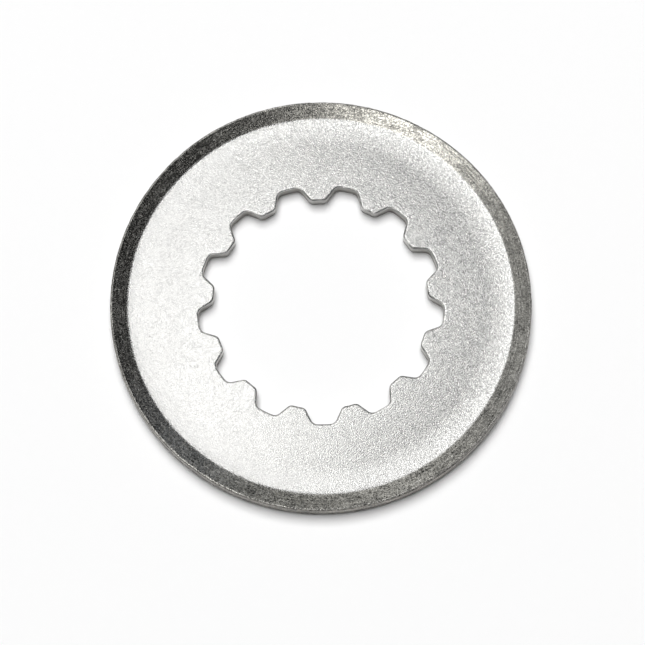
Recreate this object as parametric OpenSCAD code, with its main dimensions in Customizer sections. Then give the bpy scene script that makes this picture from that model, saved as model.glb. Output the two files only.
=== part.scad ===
// Tab washer: a pressed steel ring with a splined hole and a shallow turned-up rim.
// It slides on a splined shaft under the shaft nut; the rim is bent against the nut after tightening.
// Millimetres, +Z up. The washer lies on its flat underside, centred on the Z axis.

/* [Sheet] */
// Thickness of the sheet that the washer is pressed from
sheet_t = 1.6; // [1.2:0.1:2]
// Largest diameter, over the cut edge
outer_d = 44; // [43:0.5:46]
// Slope of the outer cut edge from upright, lower corner outwards, degrees
edge_slope = 3; // [0:0.5:8]
// Rounding of both corners of the outer cut edge
edge_r = 0.16; // [0.06:0.02:0.24]

/* [Rim] */
// Sloping width of the turned-up rim, from the crease to the sharp upper corner
rim_w = 1.62; // [1.4:0.02:2]
// Slope of the rim above level, degrees
rim_slope = 12; // [9:0.5:16]
// Inner bend radius of the crease between shoulder and rim
crease_r = 2.4; // [1.6:0.1:3.2]
// Radius of the long curve by which the flat face rises to the crease
shoulder_r = 45; // [36:1:55]
// Slope that the shoulder has reached at the crease, degrees
shoulder_slope = 3.5; // [2.5:0.25:4]

/* [Splined hole] */
// Number of teeth
teeth = 13; // [12:1:14]
// Diameter over the tooth tips
tip_d = 22.4; // [22:0.1:22.8]
// Diameter over the gaps between the teeth
root_d = 25.6; // [25.2:0.1:26]
// Thickness of a tooth half way up, along the arc
tooth_w = 2.75; // [2.5:0.05:2.9]
// Slope of a tooth flank from the radius, degrees
flank_slope = 32; // [28:0.5:36]
// Rounding of the tooth tip corners, as a ratio of the room that they have
tip_round_ratio = 0.85; // [0.5:0.05:0.95]
// Rounding of the gap corners, as a ratio of the room that they have
root_round_ratio = 0.8; // [0.5:0.05:0.95]

/* [Hidden] */

steel_colour = [0.78, 0.78, 0.76];
cut_over = 1;
shoulder_steps = 8;
crease_steps = 3;
edge_steps = 4;
pitch = 360 / teeth;
tip_r = tip_d / 2;
root_r = root_d / 2;
mid_r = (tip_r + root_r) / 2;

// Distance along the rim of a rounding centre of the cut edge, from its depth below the upper face.
edge_turn = rim_slope - edge_slope;
function edge_along(depth) = rim_w - depth * tan(edge_turn) - edge_r / cos(edge_turn);

// Depths of both rounding centres.
upper_depth = edge_r;
lower_depth = sheet_t - edge_r;

// Radii at which the rim begins, the crease begins and the flat face ends,
// worked inwards from the rounded lower corner of the cut edge.
lower_corner_r = outer_d / 2 - edge_r;
rim_begin_r = lower_corner_r - edge_along(lower_depth) * cos(rim_slope) - lower_depth * sin(rim_slope);
crease_begin_r = rim_begin_r - crease_r * (sin(rim_slope) - sin(shoulder_slope));
flat_r = crease_begin_r - shoulder_r * sin(shoulder_slope);

// Centres of both bends, above the sheet.
shoulder_centre = [flat_r, sheet_t + shoulder_r];
crease_centre = shoulder_centre + (shoulder_r - crease_r) * [sin(shoulder_slope), -cos(shoulder_slope)];

// Point of the rim, from its distance along the slope and its depth below the upper face.
rim_begin = crease_centre + crease_r * [sin(rim_slope), -cos(rim_slope)];
function rim_point(along, depth) =
    rim_begin + along * [cos(rim_slope), sin(rim_slope)] + depth * [sin(rim_slope), -cos(rim_slope)];

// Points of an arc; the first one is left out where the outline already has it.
function arc(centre, radius, from, to, steps, first = 0) =
    [for (i = [first : steps])
        let (a = from + (to - from) * i / steps)
        centre + radius * [cos(a), sin(a)]];

// One tooth flank, for a gap centred on the X axis: a point half way up and a direction outwards.
gap_half_angle = pitch / 2 - tooth_w / 2 / mid_r * 180 / PI;
flank_angle = gap_half_angle - flank_slope;
flank_mid = mid_r * [cos(gap_half_angle), sin(gap_half_angle)];
flank_dir = [cos(flank_angle), sin(flank_angle)];
flank_in = [sin(flank_angle), -cos(flank_angle)];

// Point on a line shifted sideways from the flank that lies at a given radius.
function on_flank(shift, radius) =
    let (start = flank_mid + shift * flank_in, along = start * flank_dir)
    start + flank_dir * (sqrt(along * along - start * start + radius * radius) - along);

// Widths of a tooth tip and of a gap's bottom before rounding, along their circles.
tooth_depth = root_r - tip_r;
flank_spread = tooth_depth * tan(flank_slope);
tip_land = tooth_w * tip_r / mid_r - flank_spread;
root_land = (2 * PI / teeth - tooth_w / mid_r) * root_r - flank_spread;

// Room for rounding a corner: small where the flank is short or where the land beside it is narrow.
function corner_room(land) = tooth_depth * land / (tooth_depth + land);
tip_corner_r = tip_round_ratio * corner_room(tip_land);
root_corner_r = root_round_ratio * corner_room(root_land);

// Rounding centres, and the points where each rounding runs into the flank and into its circle.
root_centre = on_flank(root_corner_r, root_r - root_corner_r);
root_on_flank = root_centre - root_corner_r * flank_in;
root_on_circle = root_centre * root_r / (root_r - root_corner_r);
tip_centre = on_flank(-tip_corner_r, tip_r + tip_corner_r);
tip_on_flank = tip_centre + tip_corner_r * flank_in;
tip_on_circle = tip_centre * tip_r / (tip_r + tip_corner_r);

function flipped(p) = [p[0], -p[1]];

// Half section of the sheet, from the axis to the cut edge:
// the upper face outwards, then the lower face back.
module section() {
    flat_end = -90;
    shoulder_end = shoulder_slope - 90;
    rim_end = rim_slope - 90;
    polygon(concat(
        [[0, sheet_t]],
        arc(shoulder_centre, shoulder_r, flat_end, shoulder_end, shoulder_steps),
        arc(crease_centre, crease_r, shoulder_end, rim_end, crease_steps, 1),
        arc(rim_point(edge_along(upper_depth), upper_depth), edge_r, rim_slope + 90, edge_slope, edge_steps),
        arc(rim_point(edge_along(lower_depth), lower_depth), edge_r, edge_slope, rim_end, edge_steps),
        arc(crease_centre, crease_r + sheet_t, rim_end, shoulder_end, crease_steps),
        arc(shoulder_centre, shoulder_r + sheet_t, shoulder_end, flat_end, shoulder_steps, 1),
        [[0, 0]]
    ));
}

// Gap between two teeth, from inside the tip circle out to the root circle.
module tooth_gap() {
    difference() {
        union() {
            polygon([
                flipped(tip_on_circle),
                flipped(tip_on_flank),
                flipped(root_on_flank),
                flipped(root_on_circle),
                root_on_circle,
                root_on_flank,
                tip_on_flank,
                tip_on_circle
            ]);
            intersection() {
                circle(r = root_r);
                polygon([[0, 0], 2 * flipped(root_on_circle), 2 * root_on_circle]);
            }
            translate(root_centre)
                circle(r = root_corner_r);
            translate(flipped(root_centre))
                circle(r = root_corner_r);
        }
        translate(tip_centre)
            circle(r = tip_corner_r);
        translate(flipped(tip_centre))
            circle(r = tip_corner_r);
    }
}

// Outline of the splined hole.
module spline() {
    circle(r = tip_r);
    for (i = [0 : teeth - 1])
        rotate(i * pitch)
            tooth_gap();
}

module tab_washer() {
    color(steel_colour)
        difference() {
            rotate_extrude()
                section();
            translate([0, 0, -cut_over])
                linear_extrude(sheet_t + 2 * cut_over)
                    spline();
        }
}

tab_washer();
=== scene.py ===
"""Tab washer on a pale floor: a finely meshed washer of plated sheet steel under soft studio light."""
import math

import bmesh
import bpy
from bpy.props import FloatProperty, FloatVectorProperty, IntProperty, PointerProperty
from mathutils import Matrix, Vector


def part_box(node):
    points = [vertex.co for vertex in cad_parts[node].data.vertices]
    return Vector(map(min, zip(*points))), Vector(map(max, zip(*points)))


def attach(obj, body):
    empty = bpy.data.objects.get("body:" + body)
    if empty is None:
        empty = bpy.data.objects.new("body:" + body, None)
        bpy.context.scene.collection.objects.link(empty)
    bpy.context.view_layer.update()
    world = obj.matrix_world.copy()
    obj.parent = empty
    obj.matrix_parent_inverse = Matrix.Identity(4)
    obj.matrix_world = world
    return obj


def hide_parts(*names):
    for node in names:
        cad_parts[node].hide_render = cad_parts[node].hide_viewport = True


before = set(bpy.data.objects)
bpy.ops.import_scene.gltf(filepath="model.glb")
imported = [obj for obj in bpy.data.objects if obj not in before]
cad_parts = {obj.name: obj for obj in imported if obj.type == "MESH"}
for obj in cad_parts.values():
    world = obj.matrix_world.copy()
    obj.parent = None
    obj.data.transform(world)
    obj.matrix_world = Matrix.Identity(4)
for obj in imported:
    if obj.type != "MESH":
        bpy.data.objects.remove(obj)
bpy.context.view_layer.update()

bl_info = {
    "name": "Tab washer",
    "version": (1, 0, 0),
    "blender": (4, 5, 0),
    "location": "View3D > Sidebar > Tab washer",
    "description": "Makes a splined tab washer of plated sheet steel and the studio it lies in",
    "category": "Object",
}

NODE = "tab_washer"
CAD_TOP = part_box(NODE)[1].z
MM = 0.001

# Steps of the arcs in the section
SHOULDER_STEPS, CREASE_STEPS = 14, 6
UPPER_CORNER_STEPS, LOWER_CORNER_STEPS = 8, 6
LIP_STEPS, ROLL_STEPS, BURR_STEPS = 5, 6, 3

# Places of the points down the outer wall, out along the rim and back under it, as shares
OUTER_WALL = (0.03, 0.25, 0.5, 0.75, 0.97)
RIM_OUT = (0.04, 0.2, 0.4, 0.6, 0.8, 0.97)
RIM_BACK = (0.96, 0.5, 0.04)

# How sheared the outer edge looks at each point: upper corner, wall, lower corner
OUTER_SHEAR = (
    (0.0, 0.0, 0.0, 0.0, 0.3, 0.8, 1.0, 1.0, 1.0)
    + (1.0, 0.55, 0.8, 1.0, 1.0)
    + (1.0, 0.9, 0.7, 0.5, 0.3, 0.1, 0.0)
)
# Points of the upper corner painted dark as shade
SHADED_CORNER = range(5, 9)
# Up the hole's wall: share of its height, how sheared it looks, and painted shade (dark lines at its foot and
# top)
HOLE_WALL = ((0.03, 1.0, 0.5), (0.25, 0.95, 0.2), (0.5, 0.75, 0.0), (0.8, 0.7, 0.0), (0.95, 0.9, 0.4))
# Painted shade on the shallow roll, from the lip inwards: a dark line along the hole's edge
ROLL_SHADE = (0.9, 0.4, 0.0, 0.0, 0.0, 0.0)
WALL_WEAR = 0.6
RIM_WEAR = 0.2

# Radii between which the look changes: from tooth tip to gap, and from face to rim
TIP_R, GAP_R = 0.0113, 0.0126
RIM_FROM_R, RIM_FULL_R = 0.0201, 0.0203
EDGE_SHADE_FULL_R = 0.0127

WHITE, WARM, COOL, CREAM = (1.0, 1.0, 1.0), (1.0, 0.98, 0.86), (0.92, 0.98, 1.1), (1.0, 0.985, 0.94)
# Lamps that only the metal sees: name, degrees right and back, width and depth in degrees, radiance, tint
METAL_LAMPS = (
    ("strip_back", -4.8, 19.2, 5.4, 15, 1.84, WHITE),
    ("strip_front", -4.8, 6.7, 5.4, 10, 2.5, WHITE),
    ("side_box", -10, 11.7, 5, 20, 0.55, WHITE),
    ("cross_middle", 0, 14.2, 5, 5, 1.85, WHITE),
    ("cross_right", 5, 14.2, 5, 5, 2.5, WHITE),
    ("cross_front", 0, 9.2, 5, 5, 0.42, WHITE),
    ("left_card", -17, 11.2, 8, 26, 0.13, WARM),
    ("back_card", -4, 30.3, 23, 7, 0.33, WARM),
    ("back_middle", -3.5, 31, 7, 7, 0.42, WHITE),
    ("back_right_card", 11.5, 29, 8, 8, 0.4, COOL),
    ("rim_box", -7.9, -2.9, 9, 7, 6.2, CREAM),
    ("low_left_strip", -46, -32, 44, 16, 1.2, WHITE),
    ("low_right_strip", 50, -8, 12, 44, 0.6, WHITE),
)
METAL_LAMP_FAR = 0.6
# The lamp that only the floor sees, and how far it stands
FLOOR_LAMP = ("floor_box", -4, 15, 30, 44, 9.2, WHITE)
FLOOR_LAMP_FAR = 2.5
FLOOR_REACH = 1.5
# The pale surround: degrees right and back of its dark opening, where the opening ends and the full
# surround begins, and the strength inside and outside it
OPENING_AT = (8, 11)
OPENING_END, SURROUND_FULL = 24, 38
OPENING_STRENGTH, SURROUND_STRENGTH = 0.003, 0.5


def length(name, text, size):
    """A length property in metres."""
    return FloatProperty(name=name, description=text, default=size, unit="LENGTH", precision=6)


def angle(name, text, degrees):
    """An angle property, given in degrees."""
    return FloatProperty(name=name, description=text, default=math.radians(degrees), unit="ROTATION")


def share(name, text, value):
    """A plain number."""
    return FloatProperty(name=name, description=text, default=value, precision=4)


def colour(name, text, value):
    """A linear colour."""
    return FloatVectorProperty(name=name, description=text, default=value, size=3, subtype="COLOR")


class WasherSizes(bpy.types.PropertyGroup):
    """Sizes of the washer."""

    outer_d: length("Outer diameter", "Largest diameter, just inside the facets of the solid", 0.04398)
    sheet_t: length("Sheet", "Thickness of the sheet", 0.0016)
    edge_slope: angle("Edge slope", "Slope of the cut edge from upright", 3)
    edge_r: length("Edge rounding", "Rounding of both corners of the cut edge", 0.00016)
    rim_w: length("Rim width", "Sloping width of the turned-up rim", 0.00162)
    rim_slope: angle("Rim slope", "Slope of the rim above level", 12)
    crease_r: length("Crease radius", "Inner bend radius of the crease", 0.0024)
    shoulder_r: length("Shoulder radius", "Radius of the long curve up to the crease", 0.045)
    shoulder_slope: angle("Shoulder slope", "Slope of the shoulder at the crease", 3.5)
    teeth: IntProperty(name="Teeth", description="Number of teeth in the hole", default=13, min=3)
    tip_d: length("Tip diameter", "Diameter over the tooth tips", 0.0224)
    root_d: length("Gap diameter", "Diameter over the gaps between the teeth", 0.0256)
    tooth_w: length("Tooth thickness", "Thickness of a tooth half way up", 0.00275)
    flank_slope: angle("Flank slope", "Slope of a tooth flank from the radius", 32)
    tip_round: share("Tip rounding", "Rounding of the tooth tip corners, as a share of their room", 0.85)
    root_round: share("Gap rounding", "Rounding of the gap corners, as a share of their room", 0.8)
    roll_r: length("Die roll", "Radius of the shallow roll beside the hole's upper edge", 0.002)
    roll_slope: angle("Roll slope", "Slope that the shallow roll reaches at the edge", 7)
    lip_r: length("Upper edge", "Rounding of the hole's upper edge", 0.00007)
    burr_r: length("Lower edge", "Rounding of the hole's lower edge", 0.00004)
    wear_depth: length("Wear depth", "Deepest nick in the corners of the cut edge", 0.00004)
    wear_size: length("Wear size", "Usual length of a nick", 0.0007)


class SteelFinish(bpy.types.PropertyGroup):
    """Look of the plated steel."""

    face: colour("Face", "Colour of the plating on the faces", (0.77, 0.767, 0.752))
    # The rim's colour is painted darker than the face's, as shade
    rim: colour("Rim", "Colour of the plating on the rim", (0.46, 0.453, 0.43))
    cut: colour("Cut edge", "Colour of the sheared walls", (0.2, 0.187, 0.165))
    roughness: share("Roughness", "Roughness of the tumbled face", 0.165)
    grain_size: length("Grain", "Size of the fine grain", 0.000115)
    grain_depth: length("Grain depth", "Height of the fine grain", 0.000011)


class StudioLook(bpy.types.PropertyGroup):
    """Camera, floor and light."""

    floor: colour("Floor", "Colour of the floor", (0.93, 0.93, 0.93))
    view_turn: angle("View turn", "Turn of the camera round the washer's axis", 5.6)
    view_height: angle("View height", "Height of the camera above the horizon", 75.8)
    view_distance: length("View distance", "Distance from the camera to the washer", 0.279)
    focal: share("Focal length", "Focal length in picture widths", 2680 / 645)
    aim_right: share("Aim right", "Aim to the right of the washer's middle, in picture widths", 1.55 / 645)
    aim_down: share("Aim down", "Aim below the washer's middle, in picture widths", 18.9 / 645)


def unit(a):
    """Unit vector at an angle in the plane."""
    return Vector((math.cos(a), math.sin(a)))


def arc(centre, radius, start, end, steps):
    """Points of an arc in the plane, both ends among them."""
    return [centre + radius * unit(start + (end - start) * i / steps) for i in range(steps + 1)]


class Section:
    """Half section of the sheet in radius and height, from its sizes."""

    def __init__(self, s):
        turn = s.rim_slope - s.edge_slope
        self.along = Vector((math.cos(s.rim_slope), math.sin(s.rim_slope)))
        self.down = Vector((math.sin(s.rim_slope), -math.cos(s.rim_slope)))
        self.rounding_along = lambda depth: s.rim_w - depth * math.tan(turn) - s.edge_r / math.cos(turn)
        lower = s.sheet_t - s.edge_r
        rim_begin_r = (
            s.outer_d / 2 - s.edge_r
            - self.rounding_along(lower) * math.cos(s.rim_slope) - lower * math.sin(s.rim_slope)
        )
        crease_begin_r = rim_begin_r - s.crease_r * (math.sin(s.rim_slope) - math.sin(s.shoulder_slope))
        self.flat_r = crease_begin_r - s.shoulder_r * math.sin(s.shoulder_slope)
        self.shoulder_centre = Vector((self.flat_r, s.sheet_t + s.shoulder_r))
        rise = Vector((math.sin(s.shoulder_slope), -math.cos(s.shoulder_slope)))
        self.crease_centre = self.shoulder_centre + (s.shoulder_r - s.crease_r) * rise
        self.rim_begin = self.crease_centre + s.crease_r * self.down
        self.s = s

    def rim_point(self, along, depth):
        """Point of the rim, from its place along the slope and its depth below the upper face."""
        return self.rim_begin + along * self.along + depth * self.down

    def bends(self, depth):
        """Shoulder and crease at a depth below the upper face, from the flat ring outwards."""
        s = self.s
        level = -math.pi / 2
        shoulder_end, rim_end = level + s.shoulder_slope, level + s.rim_slope
        shoulder = arc(self.shoulder_centre, s.shoulder_r + depth, level, shoulder_end, SHOULDER_STEPS)
        crease = arc(self.crease_centre, s.crease_r + depth, shoulder_end, rim_end, CREASE_STEPS)
        return shoulder + crease[1:]

    def edge(self):
        """Cut edge with both rounded corners, from the upper face down."""
        s = self.s
        level = math.pi / 2
        upper = self.rim_point(self.rounding_along(s.edge_r), s.edge_r)
        lower = self.rim_point(self.rounding_along(s.sheet_t - s.edge_r), s.sheet_t - s.edge_r)
        top = arc(upper, s.edge_r, s.rim_slope + level, s.edge_slope, UPPER_CORNER_STEPS)
        bottom = arc(lower, s.edge_r, s.edge_slope, s.rim_slope - level, LOWER_CORNER_STEPS)
        middle = [top[-1].lerp(bottom[0], t) for t in OUTER_WALL]
        return top + middle + bottom


class Tooth:
    """Outline of one gap and half of each tooth beside it, about the X axis."""

    def __init__(self, s):
        self.s = s
        tip_r, root_r = s.tip_d / 2, s.root_d / 2
        mid_r = (tip_r + root_r) / 2
        self.pitch = 2 * math.pi / s.teeth
        half_gap = self.pitch / 2 - s.tooth_w / 2 / mid_r
        slant = half_gap - s.flank_slope
        self.out = unit(slant)
        self.into_gap = Vector((math.sin(slant), -math.cos(slant)))
        self.mid = mid_r * unit(half_gap)
        depth = root_r - tip_r
        spread = depth * math.tan(s.flank_slope)
        tip_land = s.tooth_w * tip_r / mid_r - spread
        root_land = (self.pitch - s.tooth_w / mid_r) * root_r - spread
        self.tip_corner_r = s.tip_round * depth * tip_land / (depth + tip_land)
        self.root_corner_r = s.root_round * depth * root_land / (depth + root_land)
        self.root_centre = self.on_flank(self.root_corner_r, root_r - self.root_corner_r)
        self.tip_centre = self.on_flank(-self.tip_corner_r, tip_r + self.tip_corner_r)

    def on_flank(self, shift, radius):
        """Point at a radius on a line shifted sideways from the flank."""
        start = self.mid + shift * self.into_gap
        along = start.dot(self.out)
        return start + self.out * (math.sqrt(along * along - start.dot(start) + radius * radius) - along)

    def half(self):
        """Points and inward normals of the sheet, from the middle of the gap to the middle of a tooth."""
        s = self.s
        tip_r, root_r = s.tip_d / 2, s.root_d / 2
        flank_side = math.atan2(-self.into_gap.y, -self.into_gap.x)
        root_a = math.atan2(self.root_centre.y, self.root_centre.x)
        tip_a = math.atan2(self.tip_centre.y, self.tip_centre.x)
        points = []
        for i in range(5):
            a = root_a * i / 4
            points.append((root_r * unit(a), unit(a)))
        for i in range(1, 6):
            a = root_a + (flank_side - root_a) * i / 5
            points.append((self.root_centre + self.root_corner_r * unit(a), unit(a)))
        foot, head = points[-1][0], self.tip_centre + self.tip_corner_r * self.into_gap
        for t in (0.06, 0.28, 0.5, 0.72, 0.94):
            points.append((foot.lerp(head, t), -self.into_gap))
        start, end = flank_side + math.pi, tip_a + math.pi
        for i in range(6):
            a = start + (end - start) * i / 5
            points.append((self.tip_centre + self.tip_corner_r * unit(a), -unit(a)))
        for i in range(1, 5):
            a = tip_a + (self.pitch / 2 - tip_a) * i / 4
            points.append((tip_r * unit(a), unit(a)))
        return points

    def outline(self):
        """The whole outline, from one tooth's middle to the next."""
        upper = self.half()
        lower = [(Vector((p.x, -p.y)), Vector((n.x, -n.y))) for p, n in upper[:0:-1]]
        return lower + upper


def sector_rows(s):
    """Rows of points round the section of one sector, with three values each: cut wall, wear and painted edge
    shade.
    """
    section, tooth = Section(s), Tooth(s)
    outline = tooth.outline()
    angles = [math.atan2(p.y, p.x) for p, n in outline]
    rows = []

    def hole_row(offset, z, cut=0.0, edge_shade=0.0):
        points = [(p + n * offset).to_3d() + Vector((0, 0, z)) for p, n in outline]
        rows.append((points, cut, 0.0, edge_shade))

    def ring_row(r, z, cut=0.0, wear=0.0, edge_shade=0.0):
        points = [Vector((r * math.cos(a), r * math.sin(a), min(z, CAD_TOP))) for a in angles]
        rows.append((points, cut, wear, edge_shade))

    quarter = math.pi / 2
    clear_r = s.root_d / 2 + 0.9 * MM
    flat_end = section.flat_r - 0.1 * MM
    drop = (s.roll_r - s.lip_r) * (1 - math.cos(s.roll_slope))

    # Upper face, from the lip of the hole out to the rim; the lip and the roll carry painted shade, a dark
    # line along the hole's edge
    for i in range(LIP_STEPS + 1):
        a = quarter + (s.roll_slope - quarter) * i / LIP_STEPS
        lip_z = s.sheet_t - drop - s.lip_r * (1 - math.cos(a))
        hole_row(s.lip_r * (1 - math.sin(a)), lip_z, edge_shade=1.0)
    for i in range(1, ROLL_STEPS + 1):
        a = s.roll_slope * (1 - i / ROLL_STEPS)
        roll_in = s.lip_r + (s.roll_r - s.lip_r) * math.sin(s.roll_slope) - s.roll_r * math.sin(a)
        hole_row(roll_in, s.sheet_t - s.roll_r * (1 - math.cos(a)), edge_shade=ROLL_SHADE[i - 1])
    hole_row(roll_in + 0.05 * MM, s.sheet_t)
    for r in (clear_r, (clear_r + section.flat_r) / 2, flat_end):
        ring_row(r, s.sheet_t)
    for p in section.bends(0.0):
        ring_row(p.x, p.y)
    edge = section.edge()
    rim_end = (edge[0] - section.rim_begin).length
    for t in RIM_OUT:
        p = section.rim_point(rim_end * t, 0.0)
        ring_row(p.x, p.y, wear=max(0.0, t * 2 - 1) * RIM_WEAR)

    # Cut edge, and the lower face back to the hole; the outer half of the upper corner carries painted shade
    wall = range(UPPER_CORNER_STEPS + 1, UPPER_CORNER_STEPS + 1 + len(OUTER_WALL))
    for i, p in enumerate(edge):
        wear = WALL_WEAR if i in wall else 1.0
        ring_row(p.x, p.y, OUTER_SHEAR[i], wear, 1.0 if i in SHADED_CORNER else 0.0)
    lower_end = (edge[-1] - section.rim_point(0.0, s.sheet_t)).length
    for t in RIM_BACK:
        p = section.rim_point(lower_end * t, s.sheet_t)
        ring_row(p.x, p.y)
    for p in reversed(section.bends(s.sheet_t)):
        ring_row(p.x, p.y)
    for r in (flat_end, clear_r):
        ring_row(r, 0.0)

    # Lower edge of the hole, and its wall up to the lip; the wall carries painted shade at its foot and top
    hole_row(s.burr_r * 1.5, 0.0)
    for i in range(BURR_STEPS + 1):
        a = quarter * i / BURR_STEPS
        hole_row(s.burr_r * (1 - math.sin(a)), s.burr_r * (1 - math.cos(a)), i / BURR_STEPS)
    low, high = s.burr_r, s.sheet_t - drop - s.lip_r
    for t, shear, edge_shade in HOLE_WALL:
        hole_row(0.0, low + (high - low) * t, shear, edge_shade)
    return rows


def sector_mesh(s):
    """Mesh of one sector of the washer, open at both sides."""
    rows = sector_rows(s)
    mesh = bpy.data.meshes.new("washer_sector")
    bm = bmesh.new()
    cut = bm.verts.layers.float.new("cut_wall")
    wear = bm.verts.layers.float.new("edge_wear")
    # Painted edge shade, kept on the points
    edge_shade = bm.verts.layers.float.new("painted_edge_shade")
    grid = []
    for points, cut_value, wear_value, edge_shade_value in rows:
        line = []
        for p in points:
            v = bm.verts.new(p)
            v[cut], v[wear], v[edge_shade] = cut_value, wear_value, edge_shade_value
            line.append(v)
        grid.append(line)
    for i, line in enumerate(grid):
        after = grid[(i + 1) % len(grid)]
        for j in range(len(line) - 1):
            bm.faces.new((line[j], line[j + 1], after[j + 1], after[j]))
    bm.to_mesh(mesh)
    bm.free()
    return mesh


class Nodes:
    """Short way to add and join nodes in a tree."""

    def __init__(self, tree):
        self.tree = tree

    def add(self, kind, inputs=(), **settings):
        """Adds a node, sets its properties and its inputs; an input that is a socket is linked."""
        node = self.tree.nodes.new(kind)
        for key, value in settings.items():
            setattr(node, key, value)
        for key, value in dict(inputs).items():
            if isinstance(value, bpy.types.NodeSocket):
                self.tree.links.new(value, node.inputs[key])
            else:
                node.inputs[key].default_value = value
        return node

    def math(self, operation, a, b=0.0, c=0.0, clamp=False):
        """A Math node's result."""
        return self.add("ShaderNodeMath", {0: a, 1: b, 2: c}, operation=operation, use_clamp=clamp).outputs[0]

    def vector(self, operation, a, b=(0, 0, 0)):
        """A Vector Math node's vector result."""
        return self.add("ShaderNodeVectorMath", {0: a, 1: b}, operation=operation).outputs["Vector"]

    def dot(self, a, b):
        """A Vector Math node's dot product."""
        return self.add("ShaderNodeVectorMath", {0: a, 1: b}, operation="DOT_PRODUCT").outputs["Value"]

    def scaled(self, a, factor):
        """A vector or colour times a number."""
        return self.add("ShaderNodeVectorMath", {0: a, "Scale": factor}, operation="SCALE").outputs[0]

    def swing(self, value, amount, base):
        """A value between 0 and 1, centred, times an amount and added to a base."""
        return self.math("MULTIPLY_ADD", self.math("SUBTRACT", value, 0.5), amount, base)

    def ramp(self, value, low, high, to_low=0.0, to_high=1.0):
        """A smooth step of a value between two limits."""
        return self.add(
            "ShaderNodeMapRange",
            {"Value": value, "From Min": low, "From Max": high, "To Min": to_low, "To Max": to_high},
            interpolation_type="SMOOTHSTEP",
        ).outputs["Result"]

    def noise(self, place, scale, detail=2.0, roughness=0.5):
        """A Noise Texture's value."""
        return self.add(
            "ShaderNodeTexNoise",
            {"Vector": place, "Scale": scale, "Detail": detail, "Roughness": roughness},
        ).outputs[0]

    def mix(self, share_of_b, a, b):
        """A colour mix."""
        node = self.add("ShaderNodeMix", {"Factor": share_of_b}, data_type="RGBA")
        for socket, value in ((node.inputs[6], a), (node.inputs[7], b)):
            if isinstance(value, bpy.types.NodeSocket):
                self.tree.links.new(value, socket)
            else:
                socket.default_value = (*value, 1)
        return node.outputs[2]


def pattern_tree():
    """Node tree that repeats one sector round the axis, joins the seams and wears the edge."""
    tree = bpy.data.node_groups.new("washer_pattern", "GeometryNodeTree")
    face = tree.interface
    face.new_socket("Geometry", in_out="INPUT", socket_type="NodeSocketGeometry")
    for name, kind in (
        ("Teeth", "NodeSocketInt"), ("Seam", "NodeSocketFloat"), ("Wear Depth", "NodeSocketFloat"),
        ("Wear Size", "NodeSocketFloat"), ("Seed", "NodeSocketFloat"), ("Steel", "NodeSocketMaterial"),
    ):
        face.new_socket(name, in_out="INPUT", socket_type=kind)
    face.new_socket("Geometry", in_out="OUTPUT", socket_type="NodeSocketGeometry")
    n = Nodes(tree)
    given = n.add("NodeGroupInput").outputs
    points = n.add("GeometryNodePoints", {"Count": given["Teeth"]}).outputs[0]
    step = n.math("DIVIDE", 2 * math.pi, given["Teeth"])
    turn = n.math("MULTIPLY", n.add("GeometryNodeInputIndex").outputs[0], step)
    turned = n.add("ShaderNodeCombineXYZ", {"Z": turn}).outputs[0]
    placed = n.add(
        "GeometryNodeInstanceOnPoints",
        {"Points": points, "Instance": given["Geometry"], "Rotation": turned},
    ).outputs[0]
    real = n.add("GeometryNodeRealizeInstances", {"Geometry": placed}).outputs[0]
    joined = n.add("GeometryNodeMergeByDistance", {"Geometry": real, "Distance": given["Seam"]}).outputs[0]
    place = n.add("GeometryNodeInputPosition").outputs[0]
    level = n.vector("MULTIPLY", place, (1, 1, 0))
    inwards = n.vector("NORMALIZE", n.vector("MULTIPLY", level, (-1, -1, 0)))
    nick = n.add(
        "ShaderNodeTexNoise",
        {
            "Vector": place, "W": given["Seed"],
            "Scale": n.math("DIVIDE", 1.0, given["Wear Size"]), "Detail": 2.0,
        },
        noise_dimensions="4D",
    ).outputs[0]
    worn = n.add("GeometryNodeInputNamedAttribute", {"Name": "edge_wear"}, data_type="FLOAT").outputs[0]
    depth = n.math("MULTIPLY", n.math("MULTIPLY", n.ramp(nick, 0.42, 0.75), worn), given["Wear Depth"])
    shift = n.scaled(inwards, depth)
    moved = n.add("GeometryNodeSetPosition", {"Geometry": joined, "Offset": shift}).outputs[0]
    smooth = n.add("GeometryNodeSetShadeSmooth", {"Geometry": moved}).outputs[0]
    done = n.add("GeometryNodeSetMaterial", {"Geometry": smooth, "Material": given["Steel"]}).outputs[0]
    n.add("NodeGroupOutput", {"Geometry": done})
    return tree


def bare_material(name):
    """A new material without nodes, with the short way to add them."""
    material = bpy.data.materials.new(name)
    material.use_nodes = True
    material.node_tree.nodes.clear()
    return material, Nodes(material.node_tree)


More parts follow.
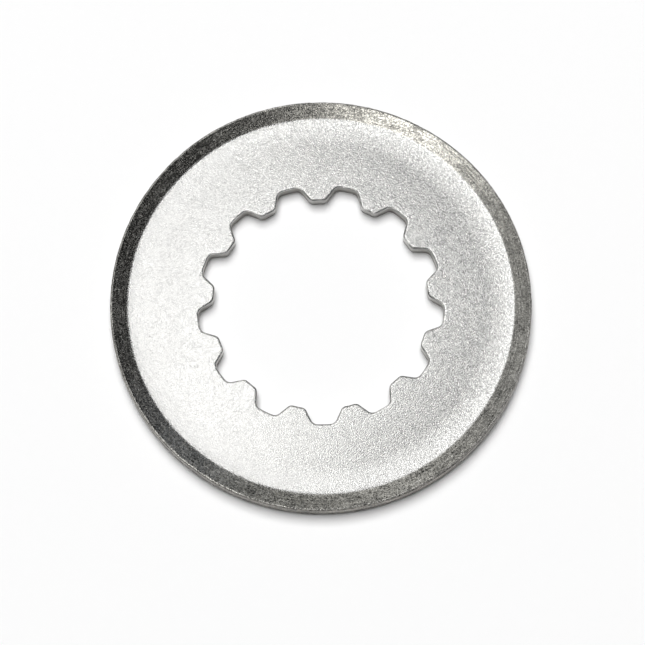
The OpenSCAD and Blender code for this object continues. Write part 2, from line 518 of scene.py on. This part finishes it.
def steel_material(look):
    """Tumbled, zinc-plated steel with a fine grain, a drawn rim and duller sheared walls, plus painted shade:
    a darker rim, dark edge lines and darker specks on one side.
    """
    material, n = bare_material("plated_steel")
    place = n.add("ShaderNodeTexCoord").outputs["Object"]
    level = n.vector("MULTIPLY", place, (1, 1, 0))
    radius = n.add("ShaderNodeVectorMath", {0: level}, operation="LENGTH").outputs["Value"]

    # Where the rim, the sheared walls and the painted edge shade lie; the walls are lighter at the tooth tips
    # than in the gaps, and the painted edge shade is strongest at the tips
    rim = n.ramp(radius, RIM_FROM_R, RIM_FULL_R)
    cut = n.add("ShaderNodeAttribute", attribute_name="cut_wall").outputs["Fac"]
    cut = n.math("MULTIPLY", cut, n.ramp(radius, TIP_R, GAP_R, 0.7, 1.0))
    edge_shade = n.add("ShaderNodeAttribute", attribute_name="painted_edge_shade").outputs["Fac"]
    edge_shade = n.math("MULTIPLY", edge_shade, n.ramp(radius, TIP_R, EDGE_SHADE_FULL_R, 1.0, 0.65))

    # Fine grain, cells of plating and slow clouds everywhere; streaks drawn round the axis
    grain = n.noise(place, 1 / look.grain_size, 1.0, 0.5)
    cells = n.add("ShaderNodeTexVoronoi", {"Vector": place, "Scale": 1 / look.grain_size}).outputs["Color"]
    fleck, pit, spot = n.add("ShaderNodeSeparateColor", {0: cells}).outputs
    cloud = n.noise(place, 900.0, 3.0, 0.6)
    blotch = n.noise(place, 450.0, 2.0)
    streaks_round, streaks_out = 9.0, 9000.0
    out_x, out_y, _ = n.add("ShaderNodeSeparateXYZ", {0: n.vector("NORMALIZE", level)}).outputs
    drawn = n.add("ShaderNodeCombineXYZ", {
        "X": n.math("MULTIPLY", out_x, streaks_round),
        "Y": n.math("MULTIPLY", out_y, streaks_round),
        "Z": n.math("MULTIPLY", radius, streaks_out),
    }).outputs[0]
    streak = n.noise(drawn, 1.0, 3.0, 0.6)

    # Tone: painted shade deepens the face's flecks and darkens its specks towards the right and back, where
    # the face is lit greyer; the rim's flecks are deepest at the front
    side = n.ramp(n.dot(place, (0.87, 0.5, 0.0)), -0.014, 0.012)
    shaded_side_flecks = n.math("MULTIPLY_ADD", side, 0.36, 0.03)
    coarse = n.ramp(n.dot(place, (0.1, -1.0, 0.0)), 0.008, 0.02, 0.95, 1.45)
    fleck_depth = n.math("MULTIPLY_ADD", rim, n.math("SUBTRACT", coarse, shaded_side_flecks), shaded_side_flecks)
    tone = n.swing(fleck, fleck_depth, 1.0)
    tone = n.swing(cloud, 0.15, tone)
    tone = n.swing(streak, n.math("MULTIPLY", rim, 1.8), tone)
    tone = n.swing(blotch, n.math("MULTIPLY", rim, 0.9), tone)
    speck_depth = n.math("MULTIPLY_ADD", side, -0.17, -0.08)
    tone = n.math("MULTIPLY_ADD", n.ramp(spot, 0.88, 0.98), speck_depth, tone)
    # Painted shade: dark lines along the hole's lip, the foot and top of its wall and the outer corner,
    # broken into patches and strongest towards the greyer side
    patchy = n.ramp(n.noise(place, 700.0, 2.0), 0.35, 0.6, 0.25, 1.0)
    edge_shade_depth = n.math("MULTIPLY_ADD", side, 0.42, 0.5)
    painted_edge_darkening = n.math("MULTIPLY", n.math("MULTIPLY", edge_shade, patchy), edge_shade_depth)
    tone = n.math("MULTIPLY", tone, n.math("SUBTRACT", 1.0, painted_edge_darkening))
    # The rim's colour is darker than the face's as painted shade; the plating is the same
    plated = n.mix(rim, look.face, look.rim)
    shaded = n.scaled(n.mix(cut, plated, look.cut), tone)

    # Roughness: dull pits, most on the rim, and dull sheared walls
    rough = n.swing(cloud, 0.03, look.roughness)
    rough = n.math("MULTIPLY_ADD", rim, 0.03, rough)
    pit_depth = n.math("MULTIPLY_ADD", rim, 0.11, 0.05)
    rough = n.math("MULTIPLY_ADD", n.math("POWER", pit, 3.0), pit_depth, rough)
    rough = n.math("MULTIPLY_ADD", cut, 0.18, rough)

    # Height: grain on the faces, streaks on the rim
    grain = n.math("MULTIPLY", grain, n.math("MULTIPLY_ADD", rim, -0.65, 1.0))
    height = n.math("MULTIPLY_ADD", n.math("MULTIPLY", streak, rim), 0.9, grain)
    bump = n.add("ShaderNodeBump", {"Height": height, "Distance": look.grain_depth, "Strength": 1.0})
    shader = n.add("ShaderNodeBsdfPrincipled", {
        "Base Color": shaded, "Metallic": 1.0, "Roughness": rough, "Normal": bump.outputs[0],
    })
    n.add("ShaderNodeOutputMaterial", {"Surface": shader.outputs[0]})
    return material


def floor_material(look):
    """Matt white board with a trace of paper tooth."""
    material, n = bare_material("pale_floor")
    tooth = n.noise(n.add("ShaderNodeTexCoord").outputs["Object"], 900.0, 2.0)
    shade = n.scaled(look.floor, n.math("MULTIPLY_ADD", tooth, 0.01, 0.995))
    shader = n.add(
        "ShaderNodeBsdfPrincipled", {"Base Color": shade, "Roughness": 0.9, "Specular IOR Level": 0.1}
    )
    n.add("ShaderNodeOutputMaterial", {"Surface": shader.outputs[0]})
    return material


class WASHER_OT_washer(bpy.types.Operator):
    """Makes the washer: one sector of the section, repeated round the axis."""

    bl_idname = "washer.make_washer"
    bl_label = "Make the washer"

    def execute(self, context):
        sizes, look = context.scene.washer_sizes, context.scene.washer_finish
        steel = steel_material(look)
        source = bpy.data.objects.new("washer_source", sector_mesh(sizes))
        context.scene.collection.objects.link(source)
        modifier = source.modifiers.new("pattern", "NODES")
        modifier.node_group = pattern_tree()
        values = {
            "Teeth": sizes.teeth, "Seam": 0.002 * MM, "Wear Depth": sizes.wear_depth,
            "Wear Size": sizes.wear_size, "Seed": 3.0, "Steel": steel,
        }
        for item in modifier.node_group.interface.items_tree:
            if item.in_out == "INPUT" and item.name in values:
                modifier[item.identifier] = values[item.name]
        context.view_layer.update()
        graph = context.evaluated_depsgraph_get()
        mesh = bpy.data.meshes.new_from_object(source.evaluated_get(graph))
        mesh.name = "washer"
        bpy.data.objects.remove(source)
        bm = bmesh.new()
        bm.from_mesh(mesh)
        bmesh.ops.recalc_face_normals(bm, faces=bm.faces)
        open_edges = sum(not e.is_manifold for e in bm.edges)
        bm.to_mesh(mesh)
        bm.free()
        if open_edges:
            raise RuntimeError(f"the washer's mesh has {open_edges} open edges")
        washer = bpy.data.objects.new("washer", mesh)
        context.scene.collection.objects.link(washer)
        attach(washer, "root")
        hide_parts(NODE)
        return {"FINISHED"}


def studio_direction(turn, right, back):
    """Unit vector tilted from straight up by degrees to the picture's right and back."""
    tilt = math.hypot(right, back)
    if tilt == 0:
        return Vector((0, 0, 1))
    flat = Vector((right, back, 0)) / tilt * math.sin(math.radians(tilt))
    return Matrix.Rotation(turn, 3, "Z") @ (flat + Vector((0, 0, math.cos(math.radians(tilt)))))


class WASHER_OT_stage(bpy.types.Operator):
    """Makes the floor, the soft lights and the camera."""

    bl_idname = "washer.make_stage"
    bl_label = "Make the stage"

    def softbox(self, context, lamp_row, far, on_metal, on_floor):
        """A rectangular lamp, placed and sized in degrees as seen from the washer."""
        name, right, back, width, depth, radiance, tint = lamp_row
        turn = context.scene.washer_studio.view_turn
        lamp = bpy.data.lights.new(name, "AREA")
        lamp.shape = "RECTANGLE"
        lamp.size = 2 * far * math.tan(math.radians(width / 2))
        lamp.size_y = 2 * far * math.tan(math.radians(depth / 2))
        lamp.energy = radiance * math.pi * lamp.size * lamp.size_y
        lamp.color = tint
        holder = bpy.data.objects.new(name, lamp)
        towards = studio_direction(turn, right, back)
        holder.location = towards * far
        side = Matrix.Rotation(turn, 3, "Z") @ Vector((1, 0, 0))
        depth_axis = towards.cross(side).normalized()
        side = depth_axis.cross(towards).normalized()
        holder.rotation_euler = Matrix((side, depth_axis, towards)).transposed().to_euler()
        holder.visible_glossy = on_metal
        holder.visible_diffuse = on_floor
        context.scene.collection.objects.link(holder)

    def floor(self, context):
        """A plain pale floor."""
        mesh = bpy.data.meshes.new("floor")
        corners = ((-1, -1), (1, -1), (1, 1), (-1, 1))
        mesh.from_pydata([(x * FLOOR_REACH, y * FLOOR_REACH, 0) for x, y in corners], [], [(0, 1, 2, 3)])
        mesh.materials.append(floor_material(context.scene.washer_studio))
        floor = bpy.data.objects.new("floor", mesh)
        context.scene.collection.objects.link(floor)

    def surround(self, context):
        """A pale surround that only the metal sees, dark round the lamps that the photo's angle mirrors."""
        world = bpy.data.worlds.new("studio")
        context.scene.world = world
        world.use_nodes = True
        n = Nodes(world.node_tree)
        way = n.add("ShaderNodeTexCoord").outputs["Generated"]
        near = n.dot(way, studio_direction(context.scene.washer_studio.view_turn, *OPENING_AT))
        full, end = (math.cos(math.radians(a)) for a in (SURROUND_FULL, OPENING_END))
        strength = n.ramp(near, full, end, SURROUND_STRENGTH, OPENING_STRENGTH)
        background = world.node_tree.nodes["Background"]
        background.inputs["Color"].default_value = (*WHITE, 1)
        world.node_tree.links.new(strength, background.inputs["Strength"])
        world.cycles_visibility.diffuse = False

    def camera(self, context):
        """The camera, at the photo's angle."""
        scene, look = context.scene, context.scene.washer_studio
        camera = bpy.data.objects.new("camera", bpy.data.cameras.new("camera"))
        scene.collection.objects.link(camera)
        camera.data.sensor_width = 36.0
        camera.data.lens = look.focal * camera.data.sensor_width
        camera.data.clip_start, camera.data.clip_end = 0.01, 10.0
        back = studio_direction(look.view_turn, 0, math.degrees(look.view_height) - 90)
        right = Matrix.Rotation(look.view_turn, 3, "Z") @ Vector((1, 0, 0))
        up = back.cross(right)
        picture_width = look.view_distance / look.focal
        centre = Vector((0, 0, scene.washer_sizes.sheet_t))
        target = centre + (right * look.aim_right - up * look.aim_down) * picture_width
        camera.location = centre + back * look.view_distance
        camera.rotation_mode = "QUATERNION"
        camera.rotation_quaternion = (target - camera.location).to_track_quat("-Z", "Y")
        scene.camera = camera

    def execute(self, context):
        self.floor(context)
        self.surround(context)
        for lamp_row in METAL_LAMPS:
            self.softbox(context, lamp_row, METAL_LAMP_FAR, on_metal=True, on_floor=False)
        self.softbox(context, FLOOR_LAMP, FLOOR_LAMP_FAR, on_metal=False, on_floor=True)
        self.camera(context)
        context.scene.view_settings.view_transform = "Standard"
        return {"FINISHED"}


class WASHER_PT_panel(bpy.types.Panel):
    """Lists the washer's sizes and the steps that make it."""

    bl_idname = "WASHER_PT_panel"
    bl_label = "Tab washer"
    bl_space_type = "VIEW_3D"
    bl_region_type = "UI"
    bl_category = "Tab washer"

    def draw(self, context):
        layout = self.layout
        for group in (context.scene.washer_sizes, context.scene.washer_finish, context.scene.washer_studio):
            box = layout.box()
            for name in group.__annotations__:
                box.prop(group, name)
        layout.operator(WASHER_OT_washer.bl_idname)
        layout.operator(WASHER_OT_stage.bl_idname)


CLASSES = (WasherSizes, SteelFinish, StudioLook, WASHER_OT_washer, WASHER_OT_stage, WASHER_PT_panel)


def register():
    for cls in CLASSES:
        bpy.utils.register_class(cls)
    bpy.types.Scene.washer_sizes = PointerProperty(type=WasherSizes)
    bpy.types.Scene.washer_finish = PointerProperty(type=SteelFinish)
    bpy.types.Scene.washer_studio = PointerProperty(type=StudioLook)


def unregister():
    del bpy.types.Scene.washer_studio
    del bpy.types.Scene.washer_finish
    del bpy.types.Scene.washer_sizes
    for cls in reversed(CLASSES):
        bpy.utils.unregister_class(cls)


def main():
    register()
    bpy.ops.washer.make_washer()
    bpy.ops.washer.make_stage()


if __name__ == "__main__":
    main()
